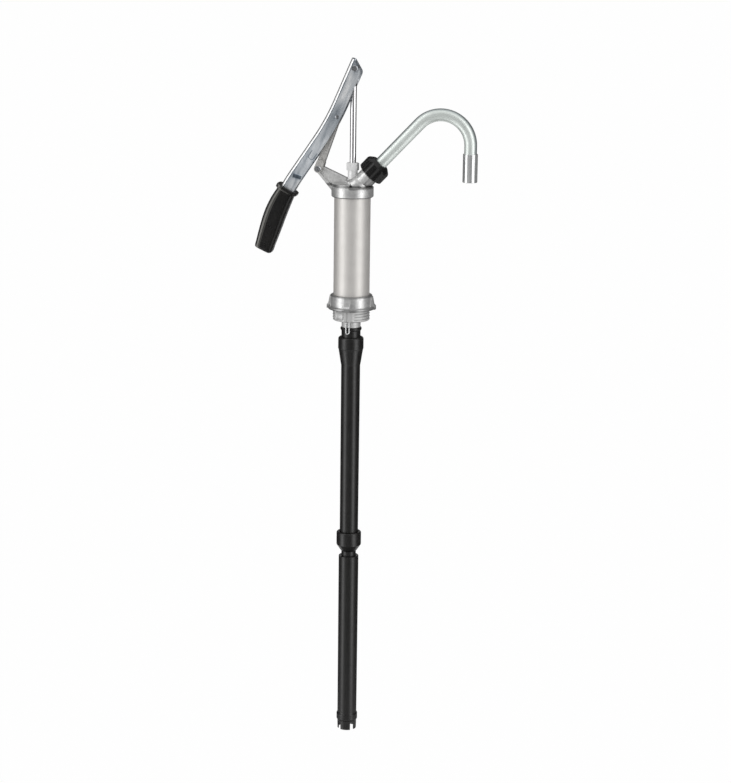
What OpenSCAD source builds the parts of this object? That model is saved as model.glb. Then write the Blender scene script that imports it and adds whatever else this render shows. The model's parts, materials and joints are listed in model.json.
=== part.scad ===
// Lever drum pump: a piston pump that screws into the bung of a drum.
// The origin is the centre of the flange face that seats on the drum. The cylinder axis is Z,
// the spout points to +X and the lever hangs on the -X side.

/* [Cylinder] */
// Outside diameter of the cylinder tube
cyl_od = 58; // [55:0.5:62]
// Wall of the cylinder tube
cyl_wall = 1.6; // [1.2:0.1:2.4]
// Length of the cylinder tube
cyl_len = 181; // [174:1:210]
// Thickness of the flat gaskets at both ends of the cylinder
gasket_t = 1.5; // [1:0.1:2.5]

/* [Base] */
// Wall of the sockets that hold the cylinder
socket_wall = 4.5; // [4:0.1:6]
// Height of the base collar above the drum seat
collar_h = 23; // [20:0.5:28]
// Height of the cylinder seat above the drum seat
seat_h = 8; // [7:0.5:10]
// Thickness of the bung flange
flange_t = 4; // [3:0.5:6]
// Width of the flange outside the collar
flange_lip = 4; // [3:0.5:8]
// Reach of the wrench lugs outside the flange
lug_reach = 2; // [1:0.5:4]
// Width of a wrench lug
lug_w = 9; // [6:0.5:12]
// Outside diameter of the bung thread
thread_od = 59.6; // [58:0.1:62]
// Length of the bung thread
thread_len = 18.5; // [17:0.5:24]
// Depth of the two casting flats across the thread
thread_flat = 0.6; // [0.2:0.1:0.9]
// Outside diameter of the inlet stub
stub_od = 30.6; // [29.5:0.1:34]
// Length of the inlet stub below the thread
stub_len = 11; // [9:0.5:16]
// Outside diameter of the spigot that carries the suction tube
spigot_od = 25.2; // [24.6:0.1:26]
// Length of the spigot
spigot_len = 18; // [16:0.5:22]

/* [Valves] */
// Diameter of the foot valve ball
ball_d = 26; // [24:0.5:28]
// Diameter of the port under the ball
port_d = 20; // [17:0.5:20.5]
// Lift of the foot valve ball
ball_lift = 6; // [3:0.5:8]
// Lift of the piston valve disc
disc_lift = 4; // [2:0.5:5]
// Length of the piston body
piston_len = 14; // [12:0.5:16]

/* [Head] */
// Depth of the skirt over the cylinder
skirt_h = 12; // [10:0.5:16]
// Thickness of the head above the cylinder
head_t = 5; // [4:0.5:7]
// Height of the raised half under the bracket
pad_h = 5; // [3:0.5:6]
// Diameter of the stuffing box
box_od = 15.6; // [15:0.1:17]
// Height of the stuffing box above the head
box_h = 34; // [32:0.5:40]
// Width across the flats of the gland nut
gland_af = 17.5; // [17:0.5:19]
// Height of the gland nut
gland_h = 12; // [10:0.5:14]
// Distance of the link pivot from the cylinder axis
pivot_reach = 54.5; // [50:0.5:58]
// Height of the link pivot above the head
pivot_rise = 26.5; // [24:0.5:30]
// Thickness of the bracket
bracket_t = 9; // [7:0.5:9.5]

/* [Lever] */
// Diameter of the piston rod
rod_d = 10; // [8:0.5:10]
// Offset of the rod pivot from the rod's axis
eye_off = 3.6; // [2:0.1:4]
// Diameter of the pivot pins
pin_d = 7; // [6:0.5:7.5]
// Length of the link between its pivots
link_len = 88; // [84:0.5:92]
// Distance between the two pivots of the lever
lever_arm = 81; // [77:0.5:85]
// Slope of the upper part of the lever
lever_tilt = 66.6; // [64:0.1:68]
// Width of the lever channel
lever_w = 20; // [19:0.5:24]
// Depth of the lever channel
lever_depth = 23; // [22:0.5:26]
// Sheet thickness of the lever channel
lever_sheet = 2; // [1.5:0.1:2.4]
// Radius of the outer edges along the lever's back
lever_back_r = 6.5; // [4:0.5:8]
// Distance of the rod pivot from the lever's back
pin_back = 11.7; // [11:0.1:13]
// Straight length below the rod pivot
upper_len = 60; // [50:1:70]
// Angle of the bend in the middle of the lever
bend_a = 10.9; // [8:0.1:14]
// Radius of that bend along the lever's back
bend_r = 348; // [250:1:450]
// Straight length below the bend
mid_len = 67; // [55:1:80]
// Angle of the bend in the hand grip
grip_a = 16.4; // [12:0.1:20]
// Radius of that bend along the lever's back
grip_r = 309; // [280:1:400]
// Length of the hand grip
grip_len = 113; // [100:1:130]
// Wall of the hand grip on the lever's sides
grip_wall = 3.4; // [2.5:0.1:5]

/* [Spout] */
// Angle of the outlet boss above the horizontal
spout_tilt = 46.5; // [43:0.5:48]
// Outside diameter of the spout tube
spout_od = 20; // [17:0.5:20.5]
// Wall of the spout tube
spout_wall = 1.5; // [1:0.1:2]
// Radius of the spout bend along its centre
spout_r = 47; // [40:0.5:56]
// Distance of the outlet from the cylinder axis
spout_reach = 187; // [170:1:210]
// Straight length of the outlet leg
outlet_len = 57; // [50:1:80]
// Outside diameter of the outlet sleeve
sleeve_od = 23.4; // [22.5:0.1:25]
// Length of the outlet sleeve
sleeve_len = 44.5; // [36:0.5:48]
// Outside diameter of the union nut
union_od = 43.5; // [42:0.5:45]
// Length of the union nut
union_len = 26; // [24:0.5:30]

/* [Suction tube] */
// Outside diameter of the upper tube
tube_od = 30.8; // [29.6:0.1:31]
// Wall of the moulded tubes
tube_wall = 2.2; // [1.8:0.1:2.6]
// Outside diameter of the bells
bell_od = 41; // [38:0.5:44]
// Outside diameter of the lip at the tube's top
lip_od = 34.2; // [33.5:0.1:37]
// Length of the upper tube
upper_tube_len = 363; // [300:1:450]
// Outside diameter of the middle tube
mid_od = 24; // [22:0.5:24.2]
// Outside diameter of the lower tube at its rim
lower_od = 32.6; // [31.8:0.1:34]
// Length of the lower tube
lower_len = 303; // [280:1:360]
// Gap between the bell and the rim of the lower tube
rim_gap = 8; // [4:0.5:20]
// Travel by which the lower tube pulls out further
pull_out = 200; // [150:1:230]

/* [Hidden] */
$fn = 96;

// Clearances: fixed seats, running fits and parts that pass each other
fit = 0.1;
run = 0.05;
pass = 0.3;
eps = 0.01;
// Where a straight length runs into a bend it laps inside the bend's wall, this much thinner
lap = 0.03;
lap_len = 1.5;

// Heights along the cylinder axis
cyl_r = cyl_od / 2;
bore_r = cyl_r - cyl_wall;
cyl_z0 = seat_h + gasket_t;
cyl_z1 = cyl_z0 + cyl_len;
ceil_z = cyl_z1 + gasket_t;
head_z = ceil_z + head_t;
collar_r = cyl_r + socket_wall;
flange_r = collar_r + flange_lip;
lug_r = flange_r + lug_reach;
thread_r = thread_od / 2;
stub_z = -thread_len - stub_len;
spigot_z = stub_z - spigot_len;

// Foot valve: the ball seats on the rim of the port, under a cage that is let into the base
ball_r = ball_d / 2;
port_r = port_d / 2;
cage_r = 22;
cage_step = 2;
cage_ring_h = 5;
cage_wall = 4;
cage_plate = 2.5;
ball_floor = seat_h - 18;
ball_z = ball_floor + sqrt(ball_r * ball_r - port_r * port_r) + run;
cage_z = ball_z + ball_r + ball_lift + pass;

// Piston, with the rod fully up
stop_gap = 9;
stop_t = 2.5;
disc_t = 2;
stop_z1 = ceil_z - stop_gap;
stop_z0 = stop_z1 - stop_t;
disc_z1 = stop_z0 - pass - disc_lift;
disc_z0 = disc_z1 - disc_t;
piston_z1 = disc_z0 - run;
piston_z0 = piston_z1 - piston_len;
nut_h = 8;
nut_af = 13;
stud_r = 4;
stud_z = piston_z0 - nut_h - 2;
hub_r = 9;
disc_r = 22;
flow_r = 4;
flow_ring = 15.5;
seal_h = 6;
seal_depth = 3;

// Rod seal
rod_r = rod_d / 2;
box_r = box_od / 2;
box_z = head_z + box_h;
pack_r = box_r - 1.5;
pack_len = 15;
gland_z1 = box_z + 3;
gland_z0 = gland_z1 - gland_h;
gboss_r = 12;
gboss_h = 8;

// Pivots: A on the bracket, B in the lever, C at the rod end, in one line with the rod fully up
pin_r = pin_d / 2;
ax = -pivot_reach;
az = head_z + pivot_rise;
reach = link_len + lever_arm;
span = pivot_reach + eye_off;
cz = az + sqrt(reach * reach - span * span);
bx = eye_off - span * lever_arm / reach;
bz = cz - (cz - az) * lever_arm / reach;
link_a = atan2(cz - az, span);
boss_r = 6;
eye_r = 5.2;
eye_t = 10.4;
head_r = 4.8;
head_h = 2.2;
dimple_r = 2.5;
dimple_floor = 0.8;
rivet_r = 2.5;
rivet_head_r = 3.4;
rivet_h = 1.2;
fork_r = 6.6;
fork_t = 4;
fork_len = 15;
slot_end = boss_r + 2.4;
link_t = 9.6;
link_eye_r = 5;

// Lever: the channel's back is x = 0 in its own section
nose = 12.2;
nose_flat = 4.2;
nose_r = 9;
nose_low = -6;
mark_x = 16;
groove_up = 40;
groove_r = 5.4;
groove_w = 1.6;
groove_len = 9;
groove_depth = 0.5;
scoop_r = 8;
scoop_len = 13.6;
scoop_depth = 1.1;
grip_top = 26;
grip_collar = 6;
collar_extra = 3.6;
grip_round = 5;
grip_lean = 1.3;
grip_slant = 2.6;
grip_arc = grip_r * grip_a * PI / 180;
lever_end = grip_top + grip_len - 8;

// Spout, along the axis of the outlet boss from where it crosses the cylinder axis
boss_z = ceil_z - 5;
boss_od = 30;
boss_thread_r = 16.5;
boss_end = 49;
seal_t = 1.9;
collar_t = 5.5;
collar_pr = 14.5;
spout_in = 33;
spout_pr = spout_od / 2;
spout_ir = spout_pr - spout_wall;
union_t0 = 40;
duct_x = 17;
duct_r = 7.5;
bend_x = spout_reach - spout_r;
bend_t = (bend_x - spout_r * sin(spout_tilt)) / cos(spout_tilt);
bend_z = boss_z + bend_t * sin(spout_tilt) - spout_r * cos(spout_tilt);
mouth_z = bend_z - outlet_len;

// Suction tube, downwards from the seat on the inlet stub
tube_r = tube_od / 2;
tube_ir = tube_r - tube_wall;
neck_ir = spigot_od / 2 + fit;
bell_r = bell_od / 2;
draft = 0.4;
lip_h = 5;
neck_h = 11;
shoulder = 4;
bell_h = 17;
bell_cone = 26;
tube_top = stub_z - pass;
tube_bot = tube_top - upper_tube_len;
bell_top = tube_top - lip_h - neck_h;
socket_d = 19;
socket_z1 = tube_bot + socket_d;
mid_r = mid_od / 2;
mid_ir = mid_r - 2;
mid_floor = tube_bot - pass;
mid_cone_z = mid_floor - 3;
mid_neck_z = mid_cone_z - 10;
rim_z = mid_neck_z - rim_gap;
guide_h = 14;
bead_h = 4;
bead_r = lower_od / 2 - tube_wall - 0.4;
mid_end = rim_z - guide_h - pull_out - 1 - bead_h;
lower_r = lower_od / 2;
lower_end_r = lower_r - draft;
lower_ir = bead_r + 0.1;
foot_z = rim_z - lower_len;
ring_h = 14;
foot_h = 15;
notch_w = 7;
seal_ring_h = 3;
clip_r = 1;
clip_x = 2.8;
clip_a = -9;
clip_y = tube_r + clip_r + pass;
clip_z = tube_top - lip_h - 1.6;
clip_hole = 3;

// Points of an arc about (x, y), from angle a0 to a1
function arc(x, y, r, a0, a1, n = 6) =
  [for (i = [0 : n]) let (a = a0 + (a1 - a0) * i / n) [x + r * cos(a), y + r * sin(a)]];

// A straight bar along Y, centred on the lever's plane
module cross_pin(x, z, r, len) {
  translate([x, 0, z]) rotate([90, 0, 0]) cylinder(r = r, h = len, center = true);
}

// A plate in the lever's plane, drawn as X and Z
module plate(t) {
  rotate([90, 0, 0]) linear_extrude(t, center = true) children();
}

// A ring of rectangular section
module ring(r0, r1, z0, z1) {
  rotate_extrude() translate([r0, z0]) square([r1 - r0, z1 - z0]);
}

// Places children on the axis of the outlet boss, with Z along the axis
module on_boss() {
  translate([0, 0, boss_z]) rotate([0, 90 - spout_tilt, 0]) children();
}

// Base
module bung_base() {
  lug = [[collar_r - 3, 0], [lug_r, 0], [lug_r, flange_t + 2], [lug_r - 2.5, flange_t + 4.5],
    [collar_r + 1, collar_h - 2], [collar_r - 3, collar_h - 2]];
  outline = concat([[0, 0], [flange_r - 0.8, 0], [flange_r, 0.8], [flange_r, flange_t - 0.8],
    [flange_r - 0.8, flange_t]], arc(collar_r + 2, flange_t + 2, 2, 270, 180, 4),
    arc(collar_r - 1.5, collar_h - 1.5, 1.5, 0, 90, 4), [[0, collar_h]]);
  lower = concat([[0, 0], [thread_r, 0]], arc(thread_r - 3, -thread_len + 3, 3, 0, -90, 5),
    arc(stub_od / 2 + 1.5, -thread_len - 1.5, 1.5, 90, 180, 4),
    [[stub_od / 2, stub_z], [spigot_od / 2, stub_z], [spigot_od / 2, spigot_z + 1],
    [spigot_od / 2 - 1, spigot_z], [0, spigot_z]]);
  color([0.72, 0.72, 0.7]) difference() {
    union() {
      rotate_extrude() polygon(outline);
      rotate_extrude() polygon(lower);
      for (a = [0 : 90 : 270])
        rotate([0, 0, a]) rotate([90, 0, 0]) linear_extrude(lug_w, center = true) polygon(lug);
    }
    translate([0, 0, seat_h]) cylinder(r = cyl_r + fit, h = collar_h);
    translate([0, 0, seat_h - cage_ring_h]) cylinder(r = cage_r, h = collar_h);
    translate([0, 0, ball_floor]) cylinder(r = cage_r - cage_step, h = collar_h);
    translate([0, 0, spigot_z - 1]) cylinder(r = port_r, h = thread_len + stub_len + spigot_len);
    ring(spigot_od / 2 - 2.4, spigot_od, stub_z - 12, stub_z - 9.2);
    for (s = [-1, 1])
      translate([-thread_r, s * (thread_r - thread_flat) - (s < 0 ? 10 : 0), -thread_len - eps])
        cube([thread_od, 10, thread_len]);
    for (s = [-1, 1])
      rotate([0, 0, clip_a]) translate([s * clip_x, -clip_y, -thread_len - stub_len])
        cylinder(r = clip_r + run, h = stub_len + clip_hole, $fn = 24);
  }
}

module base_gasket() {
  color([0.12, 0.12, 0.12]) ring(cage_r + 2, cyl_r, seat_h, cyl_z0);
}

module valve_cage() {
  ring_r = cage_r - fit;
  post_r = 2;
  post_ring = ring_r - 2 - post_r + 1.6;
  color([0.85, 0.83, 0.76]) difference() {
    union() {
      ring(ring_r - cage_wall, ring_r, seat_h - cage_ring_h, seat_h);
      for (a = [60 : 120 : 300])
        rotate([0, 0, a]) translate([post_ring, 0, seat_h - 1])
          cylinder(r = post_r, h = cage_z + cage_plate - seat_h + 1, $fn = 32);
      translate([0, 0, cage_z]) cylinder(r = ring_r, h = cage_plate);
    }
    for (a = [0 : 60 : 300])
      rotate([0, 0, a]) translate([12, 0, cage_z - 1]) cylinder(r = 4.4, h = cage_plate + 2);
  }
}

module foot_valve_ball() {
  color([0.8, 0.8, 0.82]) translate([0, 0, ball_z]) sphere(r = ball_r);
}

// Cylinder
module cylinder_tube() {
  color([0.74, 0.73, 0.71]) ring(bore_r, cyl_r, cyl_z0, cyl_z1);
}

module head_gasket() {
  color([0.12, 0.12, 0.12]) ring(bore_r - 2.5, cyl_r, cyl_z1, ceil_z);
}

// Head
module bracket_outline(inset) {
  r = boss_r - inset;
  polygon([[ax + r * 0.37, az + r * 0.93], [-9, az - 13.5 - inset], [-9, ceil_z + inset],
    [-collar_r + 3 + inset, ceil_z - 5 + inset], [-collar_r + inset * 1.4, ceil_z - 2 + inset],
    [ax - r * 0.62, az - r * 0.78]]);
  translate([ax, az]) circle(r = r);
}

module pump_head() {
  cap = concat([[0, ceil_z - skirt_h], [collar_r - 1.5, ceil_z - skirt_h],
    [collar_r, ceil_z - skirt_h + 1.5]], arc(collar_r - 1.5, head_z - 1.5, 1.5, 0, 90, 4), [[0, head_z]]);
  pad = concat([[0, head_z - 2], [collar_r - 0.6, head_z - 2]],
    arc(collar_r - 2.1, head_z + pad_h - 1.5, 1.5, 0, 90, 4), [[0, head_z + pad_h]]);
  boss = concat([[0, 10], [boss_od / 2 + 4, 10], [boss_od / 2 + 2.5, 19], [boss_od / 2, 24],
    [boss_od / 2, union_t0 - 2], [boss_thread_r, union_t0 - 1], [boss_thread_r, boss_end - 1],
    [boss_thread_r - 1, boss_end], [0, boss_end]]);
  gboss = concat([[0, head_z - 1], [gboss_r + 3, head_z - 1]],
    arc(gboss_r + 3, head_z + 2.7, 3, 270, 180, 4), arc(gboss_r - 1.5, head_z + gboss_h - 1.5, 1.5, 0, 90, 4),
    [[0, head_z + gboss_h]]);
  web_t = bracket_t / 2 - 2.2;
  color([0.74, 0.74, 0.72]) difference() {
    union() {
      rotate_extrude() polygon(cap);
      rotate([0, 0, 90]) rotate_extrude(angle = 180) polygon(pad);
      rotate_extrude() polygon(gboss);
      on_boss() rotate_extrude() polygon(boss);
      difference() {
        plate(bracket_t) bracket_outline(0);
        for (s = [-1, 1])
          translate([0, s * (web_t + bracket_t / 2), 0]) plate(bracket_t) difference() {
            bracket_outline(3);
            translate([ax, az]) circle(r = boss_r + 1);
          }
      }
    }
    translate([0, 0, -1]) cylinder(r = cyl_r + fit, h = ceil_z + 1);
    cross_pin(ax, az, pin_r + run, bracket_t + 2);
    translate([0, 0, ceil_z - 1]) cylinder(r = box_r + run, h = gland_z1 - ceil_z);
    translate([duct_x, 0, ceil_z - 1])
      cylinder(r = duct_r - 0.8, h = boss_z + duct_x * tan(spout_tilt) - ceil_z + 1);
    on_boss() translate([0, 0, duct_x / cos(spout_tilt) - 2]) cylinder(r = duct_r, h = boss_end);
    on_boss() translate([0, 0, spout_in - 1]) cylinder(r = spout_pr + pass, h = boss_end);
  }
}

module stuffing_box() {
  outer = [[rod_r + run, ceil_z], [box_r, ceil_z], [box_r, box_z - 0.8], [box_r - 0.6, box_z],
    [pack_r, box_z], [pack_r, box_z - pack_len], [rod_r + run, box_z - pack_len]];
  color([0.86, 0.86, 0.87]) rotate_extrude() polygon(outer);
}

module gland_packing() {
  color([0.2, 0.19, 0.17]) ring(rod_r + run, pack_r - run, box_z - pack_len, box_z - 0.3);
}

module gland_nut() {
  corner = gland_af / sqrt(3);
  guard = [[0, gland_z0], [corner - 1.2, gland_z0], [corner + 0.1, gland_z0 + 1],
    [corner + 0.1, gland_z1 - 1], [corner - 1.4, gland_z1], [0, gland_z1]];
  color([0.86, 0.86, 0.87]) difference() {
    intersection() {
      translate([0, 0, gland_z0]) rotate([0, 0, 20]) cylinder(r = corner, h = gland_h, $fn = 6);
      rotate_extrude() polygon(guard);
    }
    translate([0, 0, gland_z0 - 1]) cylinder(r = box_r + run, h = box_z - gland_z0 + 1 + run);
    translate([0, 0, gland_z0 - 1]) cylinder(r = rod_r + pass, h = gland_h + 2);
  }
}

// Rod and piston
module piston_rod() {
  color([0.9, 0.9, 0.91]) difference() {
    union() {
      translate([0, 0, stop_z1]) cylinder(r = rod_r, h = cz - eye_r / 2 - stop_z1);
      translate([0, 0, stud_z]) cylinder(r = stud_r, h = stop_z1 - stud_z + 1);
      cross_pin(eye_off, cz, eye_r, eye_t);
    }
    cross_pin(eye_off, cz, pin_r + run, eye_t + 2);
  }
}

module piston_body() {
  pr = bore_r - pass;
  mid = (piston_z0 + piston_z1) / 2;
  color([0.9, 0.89, 0.85]) difference() {
    union() {
      ring(stud_r + run, pr, piston_z0, piston_z1);
      ring(stud_r + run, hub_r, piston_z1 - 1, stop_z0);
    }
    ring(pr - seal_depth, pr + 5, mid - seal_h / 2, mid + seal_h / 2);
    for (a = [0 : 60 : 300])
      rotate([0, 0, a]) translate([flow_ring, 0, piston_z0 - 1]) cylinder(r = flow_r, h = piston_len + 2);
  }
}

module piston_seal() {
  mid = (piston_z0 + piston_z1) / 2;
  color([0.1, 0.1, 0.1]) ring(bore_r - pass - seal_depth + run, bore_r - run, mid - seal_h / 2 + fit,
    mid + seal_h / 2 - fit);
}

module piston_valve_disc() {
  color([0.15, 0.15, 0.15]) ring(hub_r + pass, disc_r, disc_z0, disc_z1);
}

module valve_stop() {
  color([0.8, 0.8, 0.82]) ring(stud_r + run, disc_r - 3, stop_z0, stop_z1);
}

module piston_nut() {
  color([0.8, 0.8, 0.82]) difference() {
    translate([0, 0, piston_z0 - nut_h]) cylinder(r = nut_af / sqrt(3), h = nut_h, $fn = 6);
    translate([0, 0, piston_z0 - nut_h - 1]) cylinder(r = stud_r + run, h = nut_h + 2);
  }
}

// Lever: a channel swept down the back through two bends
module channel_section(thin = 0) {
  w = lever_w / 2 - thin;
  r = lever_back_r - thin;
  wi = lever_w / 2 - lever_sheet + thin;
  ri = lever_back_r - lever_sheet + thin;
  back = lever_sheet - thin;
  difference() {
    union() {
      translate([thin, -w + r]) square([lever_depth - 2 * thin, 2 * (w - r)]);
      translate([thin + r, -w]) square([lever_depth - 2 * thin - r, 2 * w]);
      for (s = [-1, 1]) translate([thin + r, s * (w - r)]) circle(r = r);
    }
    translate([back, -wi + ri]) square([lever_depth, 2 * (wi - ri)]);
    translate([back + ri, -wi]) square([lever_depth, 2 * wi]);
    for (s = [-1, 1]) translate([back + ri, s * (wi - ri)]) circle(r = ri);
  }
}

module at_rod_pivot() {
  translate([eye_off, 0, cz]) rotate([0, 90 - lever_tilt, 0]) translate([-pin_back, 0, 0]) children();
}

module after_bend() {
  at_rod_pivot() translate([-bend_r, 0, -upper_len]) rotate([0, bend_a, 0])
    translate([bend_r, 0, 0]) children();
}

module at_grip_bend() {
  after_bend() translate([0, 0, -mid_len]) children();
}

module after_grip_bend() {
  at_grip_bend() translate([grip_r, 0, 0]) rotate([0, -grip_a, 0]) translate([-grip_r, 0, 0]) children();
}

// The part of the channel inside the hand grip
module lever_tail() {
  at_grip_bend() translate([grip_r, 0, 0]) rotate([-90, 0, 180]) rotate_extrude(angle = grip_a, $fn = 200)
    translate([grip_r, 0]) mirror([1, 0]) channel_section();
  after_grip_bend() translate([0, 0, grip_arc - lever_end]) linear_extrude(lever_end - grip_arc + lap_len)
    channel_section(lap);
}

module lever_channel() {
  over = 2;
  tip = [nose_flat, nose];
  mid = [lever_depth - nose_r, nose_low];
  a0 = atan2(tip[1] - mid[1], tip[0] - mid[0]) - acos(nose_r / norm(tip - mid));
  a1 = 12;
  out = mid + nose_r * [cos(a1), sin(a1)] + 2 * over * [sin(a1), -cos(a1)];
  cut = concat([[-over, nose], tip], arc(mid[0], mid[1], nose_r, a0, a1, 5), [out,
    [lever_depth + over, out[1]], [lever_depth + over, nose + over], [-over, nose + over]]);
  color([0.7, 0.72, 0.75]) difference() {
    union() {
      at_rod_pivot() translate([0, 0, -upper_len]) linear_extrude(upper_len + nose + 1) channel_section();
      at_rod_pivot() translate([-bend_r, 0, -upper_len]) rotate([-90, 0, 0])
        rotate_extrude(angle = bend_a, $fn = 200) translate([bend_r, 0]) channel_section();
      after_bend() translate([0, 0, -mid_len]) linear_extrude(mid_len + lap_len) channel_section(lap);
      lever_tail();
    }
    at_rod_pivot() plate(lever_w + 2) polygon(cut);
    cross_pin(eye_off, cz, pin_r, lever_w + 2);
    cross_pin(bx, bz, rivet_r, lever_w + 2);
    pressed_marks();
  }
}

// Marks of the press tool on both sides: a round ended groove and, above the hand grip, a scoop
module pressed_marks() {
  for (s = [-1, 1]) {
    after_bend() translate([mark_x, s * lever_w / 2, groove_up - mid_len]) rotate([90, 0, 0])
      linear_extrude(2 * groove_depth, center = true) difference() {
        u_shape(groove_r);
        u_shape(groove_r - groove_w);
      }
    at_grip_bend() translate([mark_x - 1, s * (lever_w / 2 + scoop_r - scoop_depth), 0]) rotate([0, 72, 0])
      cylinder(r = scoop_r, h = scoop_len, center = true);
  }
}

module u_shape(r) {
  circle(r = r);
  translate([-r, 0]) square([2 * r, groove_len]);
}

// Point of a grip section: distance s along the lever's back, offset o from the back
function grip_point(s, o) = s < grip_arc
  ? let (a = s / grip_r * 180 / PI) [grip_r - (grip_r - o) * cos(a), -(grip_r - o) * sin(a)]
  : let (d = s - grip_arc) [grip_r - (grip_r - o) * cos(grip_a) + d * sin(grip_a),
    -(grip_r - o) * sin(grip_a) - d * cos(grip_a)];
// Walk around a square of half width 1, with q steps on each side
function around(i, q) = let (k = floor(i / q), f = 2 * (i % q) / q - 1)
  k == 0 ? [1, f] : k == 1 ? [-f, 1] : k == 2 ? [-1, -f] : [f, -1];
function rounded(p, m) = p / pow(pow(abs(p[0]), m) + pow(abs(p[1]), m), 1 / m);
// Swell of the grip body over its length
function grip_swell(f) = 2.4 * sin(180 * pow(f, 0.85));

module hand_grip() {
  q = 10;
  n = 4 * q;
  half = lever_depth / 2;
  side = lever_w / 2;
  // Outer stations: distance from the grip's top, extra wall, lean to the back, slant of the end
  outer = concat([[0, collar_extra - 1.4, 0, 0], [0.9, collar_extra, 0, 0],
    [grip_collar - 1.2, collar_extra, 0, 0], [grip_collar, collar_extra - 0.8, 0, 0],
    [grip_collar + 1.6, 0, 0, 0]],
    [for (i = [1 : 12]) let (f = i / 13)
      [grip_collar + 1.6 + (grip_len - grip_collar - 9) * f, grip_swell(f),
        grip_lean * (1 - pow(1 - f, 3)), 0]],
    [for (e = [[4, 0.2], [1.6, -0.5], [0.5, -1.6], [0, -3]])
      [grip_len - e[0], e[1], grip_lean, grip_slant]]);
  steps = 16;
  inner = [for (i = [0 : steps]) (lever_end + fit - grip_top) * i / steps];
  k1 = len(outer);
  k2 = len(inner);
  skin = [for (s = outer, i = [0 : n - 1]) let (c = rounded(around(i, q), grip_round),
    p = grip_point(grip_top + s[0] - s[3] * (1.3 - c[0]) / 2,
      half - s[2] + (half + grip_wall - 0.4 + s[1]) * c[0]))
    [p[0], (side + grip_wall + s[1] * 0.8) * c[1], p[1]]];
  cavity = [for (s = inner, i = [0 : n - 1]) let (c = around(i, q),
    p = grip_point(grip_top + s, half + (half + run) * c[0])) [p[0], (side + run) * c[1], p[1]]];
  m = k1 * n;
  faces = concat(
    [for (k = [0 : k1 - 2], i = [0 : n - 1]) let (j = (i + 1) % n)
      [k * n + i, k * n + j, (k + 1) * n + j, (k + 1) * n + i]],
    [for (k = [0 : k2 - 2], i = [0 : n - 1]) let (j = (i + 1) % n)
      [m + k * n + i, m + (k + 1) * n + i, m + (k + 1) * n + j, m + k * n + j]],
    [for (i = [0 : n - 1]) let (j = (i + 1) % n) [j, i, m + i, m + j]],
    [[for (i = [0 : n - 1]) (k1 - 1) * n + i], [for (i = [n - 1 : -1 : 0]) m + (k2 - 1) * n + i]]);
  color([0.05, 0.05, 0.05]) at_grip_bend() polyhedron(concat(skin, cavity), faces, convexity = 6);
}

// Head of a hollow pivot pin, dished in its middle
module pin_head(h) {
  rotate_extrude() polygon([[0, 0], [head_r, 0], [head_r, h - 0.8], [head_r - 0.9, h], [dimple_r + 0.4, h],
    [dimple_r, dimple_floor], [0, dimple_floor]]);
}

module rod_pin() {
  color([0.55, 0.56, 0.58]) {
    cross_pin(eye_off, cz, pin_r, lever_w + 1);
    for (s = [-1, 1])
      translate([eye_off, s * lever_w / 2, cz]) rotate([-90 * s, 0, 0]) pin_head(head_h);
  }
}

module rod_spacers() {
  t = 0.8;
  color([0.6, 0.6, 0.62]) for (s = [-1, 1])
    translate([eye_off, s * (eye_t / 2 + fit + t / 2), cz]) rotate([90, 0, 0]) difference() {
      cylinder(r = pin_r + 0.8, h = t, center = true);
      cylinder(r = pin_r + run, h = t + 1, center = true);
    }
}

module link_rivets() {
  color([0.55, 0.56, 0.58]) for (s = [-1, 1])
    translate([bx, s * (lever_w / 2 - lever_sheet), bz]) rotate([-90 * s, 0, 0]) rotate_extrude()
      polygon([[0, 0], [rivet_r, 0], [rivet_r, lever_sheet], [rivet_head_r, lever_sheet],
        [rivet_head_r - 0.5, lever_sheet + 0.8], [rivet_r - 1, lever_sheet + rivet_h],
        [0, lever_sheet + rivet_h]]);
}

// Link: a forked arm from the bracket to the inside of the lever
module at_link() {
  translate([ax, 0, az]) rotate([0, -link_a, 0]) children();
}

module link_arm() {
  slot = bracket_t + 2 * pass;
  bar = [[0, -fork_r], [fork_len, -fork_r + 0.6], [link_len * 0.5, -5.6], [link_len, -link_eye_r],
    [link_len, link_eye_r], [link_len * 0.5, 5.6], [fork_len, fork_r - 0.6], [0, fork_r]];
  cheek = [[0, -fork_r], [fork_len - 4, -fork_r + 0.4], [fork_len, -3], [fork_len, 3],
    [fork_len - 4, fork_r - 0.4], [0, fork_r]];
  color([0.66, 0.65, 0.63]) at_link() difference() {
    union() {
      plate(link_t) polygon(bar);
      plate(slot + 2 * fork_t) polygon(cheek);
      cross_pin(0, 0, fork_r, slot + 2 * fork_t);
      cross_pin(link_len, 0, link_eye_r, link_t);
    }
    translate([-fork_r - 2, -slot / 2, -fork_r - 1]) cube([fork_r + 2 + slot_end, slot, 2 * fork_r + 2]);
    cross_pin(0, 0, pin_r, slot + 2 * fork_t + 2);
    cross_pin(link_len, 0, rivet_r + run, link_t + 2);
    for (s = [-1, 1])
      translate([link_len * 0.56, s * link_t / 2, 0]) cube([link_len * 0.44, 2.4, 5.6], center = true);
  }
}

module link_pin() {
  len = bracket_t + 2 * pass + 2 * fork_t;
  color([0.55, 0.56, 0.58]) {
    cross_pin(ax, az, pin_r, len + 1);
    for (s = [-1, 1])
      translate([ax, s * len / 2, az]) rotate([-90 * s, 0, 0]) pin_head(head_h - 0.4);
  }
}

module link_bush() {
  color([0.6, 0.55, 0.4]) cross_pin(bx, bz, rivet_r, link_t);
}

// Spout
module spout_tube() {
  color([0.75, 0.77, 0.75]) {
    on_boss() ring(spout_ir + lap, spout_pr - lap, spout_in, bend_t + 1);
    translate([bend_x, 0, bend_z]) rotate([90, 0, 0]) rotate_extrude(angle = 90 + spout_tilt, $fn = 128)
      translate([spout_r, 0]) difference() {
        circle(r = spout_pr);
        circle(r = spout_ir);
      }
    translate([spout_reach, 0, 0]) ring(spout_ir, spout_pr, mouth_z + 0.6, bend_z);
  }
}

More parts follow.
